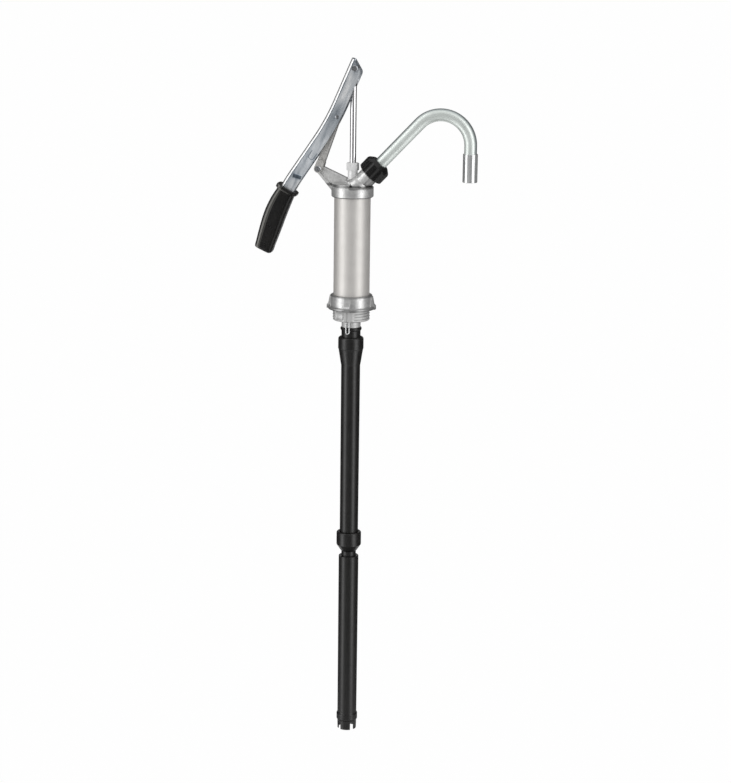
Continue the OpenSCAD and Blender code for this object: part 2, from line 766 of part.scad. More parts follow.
module spout_gasket() {
  color([0.1, 0.1, 0.1]) on_boss() ring(spout_pr + pass, boss_thread_r - 1.2, boss_end, boss_end + seal_t);
}

module spout_collar() {
  t0 = boss_end + seal_t + run;
  color([0.75, 0.77, 0.75]) on_boss() rotate_extrude()
    polygon([[spout_pr, t0], [collar_pr, t0], [collar_pr, t0 + collar_t - 1], [collar_pr - 1, t0 + collar_t],
      [spout_pr, t0 + collar_t]]);
}

module outlet_sleeve() {
  color([0.85, 0.86, 0.86]) translate([spout_reach, 0, mouth_z]) rotate_extrude()
    polygon([[spout_pr, 0], [sleeve_od / 2 - 0.5, 0], [sleeve_od / 2, 0.5], [sleeve_od / 2, sleeve_len - 0.5],
      [sleeve_od / 2 - 0.5, sleeve_len], [spout_pr, sleeve_len]]);
}

module union_nut() {
  r = union_od / 2;
  t1 = union_t0 + union_len;
  seat = boss_end + seal_t + run + collar_t + pass;
  ir = boss_thread_r + pass;
  wall = [[ir, union_t0], [r - 1.5, union_t0], [r, union_t0 + 1.5], [r, t1 - 8], [r - 1.2, t1 - 5.6],
    [r - 7, t1 - 0.8], [r - 9, t1], [spout_pr + pass, t1], [spout_pr + pass, seat], [ir, seat]];
  lobes = 8;
  scallop_r = 10;
  scallop = 2;
  color([0.07, 0.07, 0.07]) on_boss() difference() {
    rotate_extrude() polygon(wall);
    for (i = [0 : lobes - 1])
      rotate([0, 0, (i + 0.5) * 360 / lobes]) translate([r + scallop_r - scallop, 0, union_t0 - 1])
        cylinder(r = scallop_r, h = union_len + 2);
  }
}

// Suction tube
module inlet_o_ring() {
  color([0.08, 0.08, 0.08]) translate([0, 0, stub_z - 10.6]) rotate_extrude()
    translate([spigot_od / 2 - 1.15, 0]) circle(r = 1.2, $fn = 40);
}

module inlet_clip() {
  top = -thread_len + clip_hole - 0.5;
  color([0.8, 0.8, 0.8]) rotate([0, 0, clip_a]) {
    for (s = [-1, 1])
      translate([s * clip_x, -clip_y, clip_z]) cylinder(r = clip_r, h = top - clip_z, $fn = 24);
    translate([0, -clip_y, clip_z]) rotate([90, 0, 0]) rotate([0, 0, 180])
      rotate_extrude(angle = 180, $fn = 48) translate([clip_x, 0]) circle(r = clip_r, $fn = 24);
  }
}

module upper_suction_tube() {
  lip_r = lip_od / 2;
  neck_r = tube_r;
  end_r = tube_r - draft;
  cone_z = bell_top - shoulder - bell_h;
  outer = concat(arc(lip_r - 2, tube_top - 2, 2, 90, 0, 4),
    arc(lip_r - 2, tube_top - lip_h + 2, 2, 0, -90, 4),
    arc(neck_r + 1, tube_top - lip_h - 1, 1, 90, 180, 3), [[neck_r, bell_top]],
    arc(bell_r - shoulder, bell_top - shoulder, shoulder, 80, 0, 5), [[bell_r, cone_z + 2],
    [bell_r - 0.8, cone_z], [tube_r + 0.8, cone_z - bell_cone + 4], [tube_r, cone_z - bell_cone],
    [end_r, tube_bot + 0.8], [end_r - 0.6, tube_bot]]);
  inner = [[tube_ir - draft, tube_bot], [tube_ir, cone_z - bell_cone], [bell_r - 3, cone_z - 1],
    [bell_r - 3, bell_top - shoulder], [neck_ir + 1, bell_top - shoulder], [neck_ir, bell_top - shoulder + 1],
    [neck_ir, tube_top]];
  color([0.06, 0.06, 0.06]) difference() {
    rotate_extrude() polygon(concat(outer, inner));
    rotate([0, 0, clip_a]) translate([0, -clip_y, tube_top - lip_h / 2])
      cube([2 * clip_x + 2 * clip_r + 1.4, 5, lip_h + 2], center = true);
  }
}

module middle_suction_tube() {
  sock_r = tube_r - draft + fit;
  ra = bell_r - 0.3;
  outer = concat([[sock_r + 1, socket_z1 + 1]], arc(ra - 2.5, socket_z1 - 1.5, 2.5, 90, 0, 4),
    arc(ra - 2, mid_cone_z + 2, 2, 0, -45, 3), [[mid_r + 1.5, mid_neck_z + 1.5], [mid_r, mid_neck_z],
    [mid_r, mid_end + bead_h + 1], [bead_r, mid_end + bead_h], [bead_r, mid_end + 1], [bead_r - 1, mid_end]]);
  inner = [[mid_ir, mid_end], [mid_ir, mid_cone_z], [tube_ir - draft, mid_floor], [sock_r, mid_floor],
    [sock_r, socket_z1]];
  color([0.06, 0.06, 0.06]) rotate_extrude() polygon(concat(outer, inner));
}

module lower_suction_tube() {
  ring_z = foot_z + foot_h;
  ring_r = lower_end_r + 1.4;
  guide_r = mid_r + run + 0.05;
  groove = rim_z - 5;
  outer = concat(arc(lower_r - 1, rim_z - 1, 1, 90, 0, 3), [[lower_end_r, ring_z + ring_h]],
    arc(ring_r - 2.5, ring_z + ring_h - 3.5, 2.5, 55, 0, 4), arc(ring_r - 2.5, ring_z + 2.5, 2.5, 0, -55, 4),
    [[lower_end_r, ring_z], [lower_end_r - 0.4, foot_z]]);
  inner = [[lower_ir, foot_z], [lower_ir, rim_z - guide_h - 1], [guide_r, rim_z - guide_h],
    [guide_r, groove - seal_ring_h], [guide_r + 1.4, groove - seal_ring_h], [guide_r + 1.4, groove],
    [guide_r, groove], [guide_r, rim_z]];
  color([0.06, 0.06, 0.06]) difference() {
    rotate_extrude() polygon(concat(outer, inner));
    for (a = [45, 135])
      rotate([0, 0, a]) translate([-lower_r - 5, -notch_w / 2, foot_z - 1])
        cube([lower_od + 10, notch_w, foot_h - 1]);
  }
}

module tube_seal_ring() {
  guide_r = mid_r + run + 0.05;
  groove = rim_z - 5;
  color([0.2, 0.2, 0.2]) ring(guide_r - run, guide_r + 1.3, groove - seal_ring_h + fit, groove - fit);
}

bung_base();
base_gasket();
cylinder_tube();  // cylinder
head_gasket();
pump_head();
stuffing_box();
gland_packing();
gland_nut();
valve_cage();
inlet_o_ring();
inlet_clip();
upper_suction_tube();
middle_suction_tube();
spout_gasket();
piston_rod();
piston_body();
piston_seal();
valve_stop();
piston_nut();
lever_channel();
hand_grip();
rod_pin();
rod_spacers();
link_rivets();
link_arm();
link_pin();
link_bush();
spout_tube();
spout_collar();
outlet_sleeve();
union_nut();
lower_suction_tube();
tube_seal_ring();
foot_valve_ball();
piston_valve_disc();
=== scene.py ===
import json
import math

import bmesh
import bpy
from mathutils import Matrix, Vector


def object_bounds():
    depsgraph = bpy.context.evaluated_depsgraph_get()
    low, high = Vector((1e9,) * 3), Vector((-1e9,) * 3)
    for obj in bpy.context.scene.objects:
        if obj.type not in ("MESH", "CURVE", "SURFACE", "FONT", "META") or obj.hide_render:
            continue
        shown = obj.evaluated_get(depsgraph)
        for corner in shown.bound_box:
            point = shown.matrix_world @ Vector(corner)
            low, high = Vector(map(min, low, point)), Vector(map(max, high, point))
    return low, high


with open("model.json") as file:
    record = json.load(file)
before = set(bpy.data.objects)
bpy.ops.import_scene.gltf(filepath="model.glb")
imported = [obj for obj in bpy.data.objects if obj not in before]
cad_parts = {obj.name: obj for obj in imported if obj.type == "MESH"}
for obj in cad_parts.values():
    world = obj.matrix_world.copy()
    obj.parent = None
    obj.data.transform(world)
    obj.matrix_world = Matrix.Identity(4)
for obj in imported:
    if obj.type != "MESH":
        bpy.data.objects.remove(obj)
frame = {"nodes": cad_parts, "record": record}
cad_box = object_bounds()
nodes = frame["nodes"]
scene = bpy.context.scene
scene.view_settings.view_transform = "Standard"
MM = 0.001
X, Y, Z = range(3)

# Camera: angles in degrees, lengths in metres, the photo's focal length and height in its pixels
CAM_AZIMUTH = 11.0
CAM_DISTANCE = 3.2
CAM_HEIGHT = 0.6018
CAM_PITCH = 13.0
CAM_YAW = 0.44
CAM_ROLL = 0.73
FOCAL_PX = 2025.0
IMAGE_H = 783.0
SENSOR_MM = 36.0
CLIP_NEAR = 0.05
CLIP_FAR = 200.0


def around(angle, distance, z):
    """A point at this angle to the right of the camera's direction, seen from the pump."""
    a = math.radians(CAM_AZIMUTH + angle)
    return Vector((distance * math.sin(a), -distance * math.cos(a), z))


def make_camera():
    data = bpy.data.cameras.new("camera")
    data.sensor_width = SENSOR_MM
    data.lens = FOCAL_PX * SENSOR_MM / IMAGE_H
    data.clip_start = CLIP_NEAR
    data.clip_end = CLIP_FAR
    cam = bpy.data.objects.new("camera", data)
    scene.collection.objects.link(cam)
    turn = (Matrix.Rotation(math.radians(CAM_AZIMUTH - CAM_YAW), 4, "Z")
            @ Matrix.Rotation(math.radians(90.0 - CAM_PITCH), 4, "X")
            @ Matrix.Rotation(math.radians(CAM_ROLL), 4, "Z"))
    cam.matrix_world = Matrix.Translation(around(0, CAM_DISTANCE, CAM_HEIGHT)) @ turn
    scene.camera = cam


make_camera()


# Materials
NOISE_RANGE = (0.3, 0.7)


class Shader:
    """A node material round one Principled shader, in object coordinates (metres)."""

    def __init__(self, name, colour, metallic, roughness):
        self.mat = bpy.data.materials.new(name)
        self.mat.use_nodes = True
        self.tree = self.mat.node_tree
        self.bsdf = self.tree.nodes["Principled BSDF"]
        self.set(Base_Color=(*colour, 1), Metallic=metallic, Roughness=roughness)
        place = self.node("ShaderNodeTexCoord")
        self.coord = place.outputs["Object"]
        self.facing = place.outputs["Normal"]
        self.normal = None

    def node(self, kind):
        return self.tree.nodes.new(kind)

    def set(self, **values):
        """Sets the shader's own sockets, with _ for a space in a socket's name."""
        for key, value in values.items():
            self.bsdf.inputs[key.replace("_", " ")].default_value = value

    def show(self, key, value):
        """Links one of the shader's own sockets to what varies over the surface."""
        self.tree.links.new(value, self.bsdf.inputs[key])

    def feed(self, socket, value):
        """Links a socket to another node's output, or sets it to a plain number, vector or colour."""
        if isinstance(value, bpy.types.NodeSocket):
            self.tree.links.new(value, socket)
        elif isinstance(value, (int, float)):
            socket.default_value = value
        else:
            socket.default_value = (*value, 1)[:len(socket.default_value)]

    def op(self, kind, operation, *values):
        """The outputs of a Math or Vector Math node with these inputs."""
        n = self.node(kind)
        n.operation = operation
        for socket, value in zip(n.inputs, values):
            self.feed(socket, value)
        return n.outputs

    def turned(self, turn, stretch=(1, 1, 1), vector=None):
        """A vector, or the object coordinates, in axes turned by these angles, divided by these factors."""
        m = self.node("ShaderNodeMapping")
        m.vector_type = "TEXTURE"
        self.feed(m.inputs["Vector"], vector or self.coord)
        self.feed(m.inputs["Rotation"], turn)
        self.feed(m.inputs["Scale"], stretch)
        return m.outputs["Vector"]

    def noise(self, size, detail=3.0, stretch=(1, 1, 1), rough=0.55, turn=(0, 0, 0)):
        """Noise with features of about this size (m), in axes turned and stretched by these values."""
        n = self.node("ShaderNodeTexNoise")
        self.feed(n.inputs["Scale"], 1 / size)
        self.feed(n.inputs["Detail"], detail)
        self.feed(n.inputs["Roughness"], rough)
        self.feed(n.inputs["Vector"], self.turned(turn, stretch))
        return n.outputs["Fac"]

    def away(self, point):
        """How far the surface faces away from this point: the normal's part of the way from it (m)."""
        way = self.op("ShaderNodeVectorMath", "SUBTRACT", self.coord, point)["Vector"]
        return self.op("ShaderNodeVectorMath", "DOT_PRODUCT", way, self.facing)["Value"]

    def axle_distance(self):
        """Distance from the pump's axis (m)."""
        level = self.op("ShaderNodeVectorMath", "MULTIPLY", self.coord, (1, 1, 0))["Vector"]
        return self.op("ShaderNodeVectorMath", "LENGTH", level)["Value"]

    def part(self, vector, axis):
        """One component of a vector."""
        split = self.node("ShaderNodeSeparateXYZ")
        self.feed(split.inputs[0], vector)
        return split.outputs[axis]

    def unsigned(self, value):
        return self.op("ShaderNodeMath", "ABSOLUTE", value)["Value"]

    def minus(self, a, b):
        return self.op("ShaderNodeMath", "SUBTRACT", a, b)["Value"]

    def mix(self, fac, a, b, kind="MIX"):
        """Goes from a to b, each an output or a plain colour, as fac goes from 0 to 1."""
        m = self.node("ShaderNodeMix")
        m.data_type = "RGBA"
        m.blend_type = kind
        self.feed(m.inputs["Factor"], fac)
        self.feed(m.inputs["A"], a)
        self.feed(m.inputs["B"], b)
        return m.outputs["Result"]

    def times(self, a, b):
        return self.mix(1.0, a, b, "MULTIPLY")

    def ramp(self, fac, stops):
        """Goes through these colours at these places from 0 to 1."""
        r = self.node("ShaderNodeValToRGB")
        elements = r.color_ramp.elements
        while len(elements) < len(stops):
            elements.new(0.5)
        for element, (place, colour) in zip(elements, stops):
            element.position = place
            element.color = (*colour, 1)
        self.feed(r.inputs["Fac"], fac)
        return r.outputs["Color"]

    def between(self, noise, dark, light):
        """Goes from dark to light over the usual range of a noise."""
        return self.ramp(noise, list(zip(NOISE_RANGE, (dark, light))))

    def spread(self, fac, span, low=0, high=1):
        """Goes from low to high as fac crosses this span."""
        m = self.node("ShaderNodeMapRange")
        for key, value in zip(("From Min", "From Max", "To Min", "To Max"), (*span, low, high)):
            self.feed(m.inputs[key], value)
        self.feed(m.inputs["Value"], fac)
        return m.outputs["Result"]

    def rough(self, fac, low, high, span=NOISE_RANGE):
        self.show("Roughness", self.spread(fac, span, low, high))

    def bump(self, fac, height):
        """Bump of this height in metres, added over earlier ones."""
        b = self.node("ShaderNodeBump")
        self.feed(b.inputs["Strength"], 1.0)
        self.feed(b.inputs["Distance"], height)
        self.feed(b.inputs["Height"], fac)
        if self.normal:
            self.feed(b.inputs["Normal"], self.normal)
        self.normal = b.outputs["Normal"]
        self.show("Normal", self.normal)


def grey(v, blue=0.0):
    return (v * (1 - blue), v, v * (1 + blue))


def tones(*stops):
    """Stops of a ramp: a place from 0 to 1, a grey and, where it is given, the grey's shift to blue."""
    return [(place, grey(*tone)) for place, *tone in stops]


def shade(colour, factor):
    return [factor * c for c in colour]


# Castings: spans are heights or distances from the axis in metres, or parts of the surface's direction
CAST_METALLIC = 0.7
CAST_COARSE = 2
# Painted shade on the base's flange and on the collar's edge
BASE_SPAN = (0, 0.024)
BASE_SHADE_TONES = tones((0.0, 0.6), (0.17, 0.6), (0.25, 1.0), (0.83, 1.0), (0.89, 0.52), (0.965, 0.52),
                   (1.0, 1.0))
# Painted shade on the head's edge, which lies higher on the bracket's side
HEAD_SPAN = (0.1935, 0.2005)
HEAD_SHADE_TONES = tones((0.0, 1.0), (0.25, 0.42), (0.66, 0.42), (0.9, 1.0))
PAD_RISE = 0.0024
# Painted shade on faces that look down
UNDER_SPAN = (-0.5, -0.02)
UNDER_SHADE_TONES = tones((0.0, 0.4), (1.0, 1.0))
# Painted light: flat upright faces turned to the sides above the head take their own colour, which on the
# die casting is painted paler and also lays a pale band along round bosses
BRACKET_SPAN = (0.2, 0.204)
SIDE_LIGHT_TONES = tones((0.95, 0.0), (0.985, 1.0))
SIDE_LIGHT_MOTTLE = 0.78
# The thread, with painted shade in its roots
THREAD_SPAN = (-0.0025, -0.0005)
THREAD_DULL = 0.15
ROOT_SPAN = (0.0284, 0.0294)
ROOT_SHADE = 0.45


def cast_metal(name, dark, mid, light, plain, rough, grain):
    """Die casting: a mottled sandy skin, painted shade on rims and on faces that look down, flat side faces
    above the head painted paler (painted light), and a dull thread with painted shade in its roots.
    """
    s = Shader(name, mid, CAST_METALLIC, sum(rough) / 2)
    height = s.part(s.coord, Z)
    mottle = s.noise(size=0.005, detail=5.0)
    skin = s.ramp(mottle, [(0.32, dark), (0.5, mid), (0.68, light)])
    # Painted shade on the flange and on the collar's edge
    skin = s.times(skin, s.ramp(s.spread(height, BASE_SPAN), BASE_SHADE_TONES))
    # Painted shade on the head's edge, higher on the bracket's side
    rise = s.spread(s.part(s.coord, X), (-MM, MM), PAD_RISE, 0)
    skin = s.times(skin, s.ramp(s.spread(s.minus(height, rise), HEAD_SPAN), HEAD_SHADE_TONES))
    # Painted shade on faces that look down
    skin = s.times(skin, s.ramp(s.spread(s.part(s.facing, Z), UNDER_SPAN), UNDER_SHADE_TONES))
    # Painted light: flat faces turned to the sides above the head, painted paler on the die casting
    flat = s.ramp(s.unsigned(s.part(s.facing, Y)), SIDE_LIGHT_TONES)
    side_light = s.ramp(mottle, [(0.36, shade(plain, SIDE_LIGHT_MOTTLE)), (0.64, plain)])
    skin = s.mix(s.spread(height, BRACKET_SPAN), skin, s.mix(flat, skin, side_light))
    # Painted shade in the thread's roots
    root_shade = shade(dark, ROOT_SHADE)
    roots = s.ramp(s.spread(s.axle_distance(), ROOT_SPAN),
                   [(0.0, mid), (0.1, mid), (0.16, root_shade), (0.32, root_shade), (0.55, mid)])
    thread = s.spread(height, THREAD_SPAN, 1, 0)
    s.show("Base Color", s.mix(thread, skin, roots))
    s.rough(thread, rough[0], rough[1] + THREAD_DULL, (0, 1))
    s.bump(s.noise(size=0.0012, detail=4.0), grain)
    s.bump(s.noise(size=0.007), grain * CAST_COARSE)
    return s.mat


DRAWN_OUT = 40
PLASTIC_COARSE = 3


def drawn_metal(name, dark, light, rough, along, grain, tint=0.02, metallic=1.0):
    """Metal drawn or ground along one axis: the grain is long that way."""
    s = Shader(name, light, metallic, sum(rough) / 2)
    stretch = [1, 1, 1]
    stretch[along] = DRAWN_OUT
    s.show("Base Color", s.between(s.noise(tint), dark, light))
    s.rough(s.noise(size=0.0008, stretch=stretch), *rough)
    s.bump(s.noise(size=0.0006, stretch=stretch), grain)
    return s.mat


def plastic(name, dark, light, rough, grain, gloss=0.5):
    """Moulded plastic or rubber with a fine grain and a slightly uneven skin."""
    s = Shader(name, dark, 0.0, sum(rough) / 2)
    s.show("Base Color", s.between(s.noise(size=0.02), dark, light))
    s.rough(s.noise(size=0.004, detail=4.0), *rough)
    s.bump(s.noise(size=0.0007), grain)
    s.bump(s.noise(size=0.02, detail=2.0), grain * PLASTIC_COARSE)
    s.set(Specular_IOR_Level=gloss)
    return s.mat


# Lever and grip: in axes turned by this angle, X points to the lever's open side and Z runs along it
LEVER_TURN = (0, math.radians(23.4), 0)
# The grip's painted highlight line, by how far its skin leans to the open side
GLINT_SPAN = (-0.5, 0.5)
GLINT_TONES = tones((0.22, 0.0), (0.3, 1.0), (0.39, 1.0), (0.45, 0.12), (0.49, 0.0))
GLINT_COLOUR = (0.21, 0.205, 0.19)
# The lever's clouds, its darker bands by the place along it (m), one of them painted shade over the scoop
# by the grip, and its folds' painted light and shade by the surface's direction
CLOUD_STRETCH = (1, 1, 5)
CLOUD_TONES = tones((0.3, 0.45, 0.08), (0.48, 0.72, 0.04), (0.66, 0.98, 0.01))
LEVER_BAND_SPAN = (0.13, 0.37)
BAND_AND_SCOOP_SHADE_TONES = tones((0.085, 1.0), (0.115, 0.75, 0.05), (0.15, 1.0, 0.02), (0.3, 0.9, 0.03),
                    (0.42, 0.95, 0.02), (0.58, 0.62, 0.05), (0.72, 1.0), (0.86, 1.0), (0.94, 0.6, 0.05))
LEAN_SPAN = (-1, 0)
# Painted highlight round each fold
HIGHLIGHT_STRIP_TONES = tones((0.16, 0.0), (0.24, 1.0), (0.68, 1.0), (0.75, 0.0))
# Painted shade line where each fold meets the side
FOLD_SHADE_TONES = tones((0.7, 1.0), (0.78, 0.3, 0.06), (0.88, 0.3, 0.06), (0.955, 1.0))
# Painted dark reflection on the middle of each fold
DARK_REFLECTION_TONES = tones((0.08, 0.0), (0.16, 1.0), (0.62, 1.0), (0.72, 0.0))
# Painted shade in its pressed marks, by the distance from its middle plane (m)
PRESS_SPAN = (0.0085, 0.01)
PRESS_SHADE_TONES = tones((0.1, 1.0), (0.18, 0.24, 0.12), (0.54, 0.24, 0.12), (0.64, 0.55, 0.06),
                    (0.82, 0.6, 0.06), (0.95, 1.0))
# Colours of the painted highlight and of the painted dark reflection round the folds
HIGHLIGHT_STRIP_COLOUR = grey(0.96)
DARK_REFLECTION_COLOUR = grey(0.42, 0.03)
SHEET_METALLIC = 0.65
HIGHLIGHT_STRIP_METALLIC = 0.35


def grip_vinyl():
    """Dipped vinyl: a glossy black skin with slow waves, and a painted highlight line along the shoulder of
    its back.
    """
    s = Shader("vinyl_black", colour=grey(0.005), metallic=0.0, roughness=0.3)
    skin = s.between(s.noise(size=0.02), dark=grey(0.003), light=(0.006, 0.0055, 0.005))
    lean = s.part(s.turned(LEVER_TURN, vector=s.facing), X)
    # Painted highlight line along the shoulder of the grip's back
    glint = s.ramp(s.spread(lean, GLINT_SPAN), GLINT_TONES)
    s.show("Base Color", s.mix(glint, skin, GLINT_COLOUR))
    s.rough(s.noise(size=0.01), low=0.26, high=0.34)
    s.bump(s.noise(size=0.02, detail=2.0), height=0.00003)
    s.set(Specular_IOR_Level=0.3, Coat_Weight=0.12, Coat_Roughness=0.08)
    return s.mat


def lever_metal():
    """Bright zinc on pressed sheet, with long clouds, darker bands along it and painted shade in its
    pressed marks.

    Round each fold, from the back to the side, lie a painted dark reflection, a pale painted highlight and
    a painted shade line.
    """
    s = Shader("zinc_sheet", colour=(0.66, 0.68, 0.7), metallic=SHEET_METALLIC, roughness=0.33)
    clouds = s.ramp(s.noise(size=0.009, stretch=CLOUD_STRETCH, rough=0.5, turn=LEVER_TURN), CLOUD_TONES)
    # Darker bands along the lever; the one by the grip is painted shade over the scoop
    bands_and_scoop_shade = s.ramp(s.spread(s.part(s.turned(LEVER_TURN), Z), LEVER_BAND_SPAN), BAND_AND_SCOOP_SHADE_TONES)
    lean = s.spread(s.part(s.turned(LEVER_TURN, vector=s.facing), X), LEAN_SPAN)
    # Painted highlight round the folds
    highlight_strip = s.ramp(lean, HIGHLIGHT_STRIP_TONES)
    # Painted dark reflection on the middle of the folds, which are made fully metallic
    mirror = s.ramp(s.unsigned(s.part(s.facing, Y)), DARK_REFLECTION_TONES)
    # Painted shade in the pressed marks
    pressed = s.ramp(s.spread(s.unsigned(s.part(s.coord, Y)), PRESS_SPAN), PRESS_SHADE_TONES)
    # Painted shade line along the folds
    sheet = s.times(s.times(s.times(clouds, bands_and_scoop_shade), s.ramp(lean, FOLD_SHADE_TONES)), pressed)
    s.show("Base Color", s.mix(mirror, s.mix(highlight_strip, sheet, HIGHLIGHT_STRIP_COLOUR), DARK_REFLECTION_COLOUR))
    metal = s.spread(highlight_strip, (0, 1), SHEET_METALLIC, HIGHLIGHT_STRIP_METALLIC)
    s.show("Metallic", s.mix(mirror, metal, grey(1.0)))
    s.rough(s.noise(size=0.012), low=0.28, high=0.38)
    s.bump(s.noise(size=0.03, detail=1.0), height=0.00015)
    return s.mat


# Spout: the middle of its bend (m), and painted shade by how far its wall faces away from there (m)
BEND_CENTRE = (0.14, 0, 0.2662)
BEND_SHADE_SPAN = (0.04, 0.057)
BEND_SHADE_TONES = tones((0.0, 1.0), (0.55, 0.62, 0.03), (0.8, 0.36, 0.05))


def spout_metal():
    """Zinc on tube, with the pale green cast of its passivation, and painted shade on the outside of the
    bend.
    """
    s = Shader("plated_tube", colour=(0.77, 0.82, 0.79), metallic=0.58, roughness=0.43)
    skin = s.between(s.noise(size=0.018, detail=4.0), dark=(0.73, 0.78, 0.75), light=(0.81, 0.86, 0.83))
    # Painted shade on the outside of the bend
    bend_shade = s.ramp(s.spread(s.away(BEND_CENTRE), BEND_SHADE_SPAN), BEND_SHADE_TONES)
    s.show("Base Color", s.times(skin, bend_shade))
    s.rough(s.noise(size=0.02, detail=2.0), low=0.4, high=0.46)
    s.bump(s.noise(size=0.015, detail=2.0), height=0.00002)
    return s.mat


MATS = {
    # plain is the colour of flat side faces above the head, painted paler here as painted light
    "cast_alloy": cast_metal("die_cast", dark=grey(0.54), mid=(0.63, 0.63, 0.625), light=(0.71, 0.71, 0.7),
                             plain=(0.92, 0.92, 0.91), rough=(0.38, 0.42), grain=0.00003),
    "link_steel": cast_metal("link_cast", dark=(0.54, 0.53, 0.51), mid=(0.65, 0.64, 0.62),
                             light=(0.74, 0.73, 0.71), plain=(0.65, 0.64, 0.62), rough=(0.42, 0.5),
                             grain=0.00003),
    "cylinder_coat": drawn_metal("satin_coat", dark=(0.67, 0.65, 0.625), light=(0.72, 0.7, 0.675),
                                 rough=(0.48, 0.54), along=Z, grain=0.000003, metallic=0.6),
    "zinc_steel": lever_metal(),
    "chrome_rod": drawn_metal("hard_chrome", dark=(0.76, 0.75, 0.76), light=(0.82, 0.82, 0.83),
                              rough=(0.05, 0.09), along=Z, grain=0.000001),
    "bright_steel": drawn_metal("bright_plate", dark=(0.7, 0.71, 0.71), light=(0.8, 0.81, 0.81),
                                rough=(0.08, 0.16), along=Z, grain=0.000003, metallic=0.75),
    "spout_plate": spout_metal(),
    "tube_plastic": plastic("tube_black", dark=(0.005, 0.0046, 0.0043), light=(0.009, 0.0085, 0.008),
                            rough=(0.3, 0.38), grain=0.00002),
    "nut_plastic": plastic("nut_black", dark=grey(0.003), light=grey(0.006), rough=(0.26, 0.34),
                           grain=0.00002, gloss=0.32),
    "grip_vinyl": grip_vinyl(),
    "seal_rubber": plastic("rubber_black", dark=grey(0.012), light=grey(0.02), rough=(0.55, 0.7),
                           grain=0.00004),
    "packing": plastic("graphite_cord", dark=(0.06, 0.055, 0.05), light=(0.12, 0.11, 0.1), rough=(0.6, 0.8),
                       grain=0.0002),
    "valve_plastic": plastic("natural_plastic", dark=(0.7, 0.68, 0.62), light=(0.78, 0.76, 0.71),
                             rough=(0.35, 0.5), grain=0.00003),
    "brass_bush": drawn_metal("turned_brass", dark=(0.55, 0.43, 0.2), light=(0.66, 0.53, 0.28),
                              rough=(0.2, 0.32), along=Y, grain=0.000004),
}
GLAND = drawn_metal("gland_plate", dark=grey(0.9), light=grey(0.97), rough=(0.4, 0.48), along=Z,
                    grain=0.000003, metallic=0.3)
PINS = drawn_metal("pin_steel", dark=(0.26, 0.27, 0.29), light=(0.46, 0.47, 0.48), rough=(0.16, 0.26),
                   along=Y, grain=0.000004, tint=0.003)
FINISHES = {"gland_nut": GLAND, "stuffing_box": GLAND,
            "rod_pin": PINS, "link_pin": PINS, "link_rivets": PINS}
for part in frame["record"]["subparts"]:
    mesh = nodes[part["node"]].data
    mesh.materials.clear()
    mesh.materials.append(FINISHES.get(part["node"], MATS[part["material_slot"]]))


# Thread, smooth panels and parting lines of the base: lengths in mm, angles round the axis in degrees
THREAD_R = 29.8
THREAD_PITCH = 4.6
THREAD_DEPTH = 1.2
THREAD_TOP = -1.6
THREAD_END = -18.4
SEAM_GAP = 13.0
GROOVE_STEPS = 40
GROOVE_SHARE = 0.42
GROOVE_HALF = THREAD_PITCH * GROOVE_SHARE
GROOVE_FLOOR = 0.1
GROOVE_OUT = 0.15
FADE = 9.0
FADE_LEAST = 0.02
PANEL_ANGLE = 239.3
PANEL_HALF = 17.8
PANEL_DEPTH = 0.75
PANEL_TOP = -2.4
PANEL_LOW = -15.6
PANEL_CORNER = 7.0
PANEL_STEPS = 24
PANEL_GAP = 2.0
RIB_ANGLE = 267.5
RIB_HALF = 1.1
RIB_DEPTH = 1.4
RIB_TOP = -2.0
RIB_LOW = -18.0
BLOCK_OUT = 1.0
WELD_REACH = 1e-6


def loft(sections, verts, faces):
    """Adds a closed run through these sections, which have as many corners each, given in mm."""
    first = len(verts)
    k = len(sections[0])
    for section in sections:
        verts += [[c * MM for c in point] for point in section]
    for i in range(len(sections) - 1):
        a, b = first + i * k, first + (i + 1) * k
        faces += [(a + j, a + (j + 1) % k, b + (j + 1) % k, b + j) for j in range(k)]
    last = first + (len(sections) - 1) * k
    faces.append(tuple(first + j for j in range(k)))
    faces.append(tuple(last + j for j in range(k)))


def on_axis(angle, corners):
    """Corners given as radius and height, turned to this angle round the axis."""
    a = math.radians(angle)
    return [(r * math.cos(a), r * math.sin(a), z) for r, z in corners]


def groove_run(start, end):
    """One run of the helical groove between two angles, faded out at both ends."""
    rim = THREAD_R + GROOVE_OUT
    deep = THREAD_DEPTH + GROOVE_OUT
    wide = GROOVE_HALF * deep / THREAD_DEPTH
    sections = []
    for i in range(GROOVE_STEPS + 1):
        turn = start + (end - start) * i / GROOVE_STEPS
        z = THREAD_END + THREAD_PITCH * turn / 360
        fade = max(FADE_LEAST, min(1.0, (turn - start) / FADE, (end - turn) / FADE))
        root = rim - deep * fade
        corners = ((rim, z + wide), (root, z + GROOVE_FLOOR), (root, z - GROOVE_FLOOR), (rim, z - wide))
        sections.append(on_axis(turn, corners))
    return sections


def block_corners(depth, top, low):
    """Corners of a section that cuts this deep into the thread's wall."""
    inner, rim = THREAD_R - depth, THREAD_R + BLOCK_OUT
    return ((rim, top), (inner, top), (inner, low), (rim, low))


def panel_block(angle):
    """A curved block that cuts a smooth round-cornered panel into the thread's wall."""
    sections = []
    for i in range(PANEL_STEPS + 1):
        turn = PANEL_HALF * math.sin(math.radians(-90 + 180 * i / PANEL_STEPS))
        past = max(0.0, (abs(turn) - PANEL_HALF + PANEL_CORNER) / PANEL_CORNER)
        drop = THREAD_R * math.radians(PANEL_CORNER) * (1 - math.sqrt(max(0.0, 1 - past * past)))
        corners = block_corners(PANEL_DEPTH, PANEL_TOP - drop, PANEL_LOW + drop)
        sections.append(on_axis(angle + turn, corners))
    return sections


def rib_block(angle):
    """A narrow upright block that cuts the casting's parting line."""
    corners = block_corners(RIB_DEPTH, RIB_TOP, RIB_LOW)
    return [on_axis(angle + turn, corners) for turn in (-RIB_HALF, RIB_HALF)]


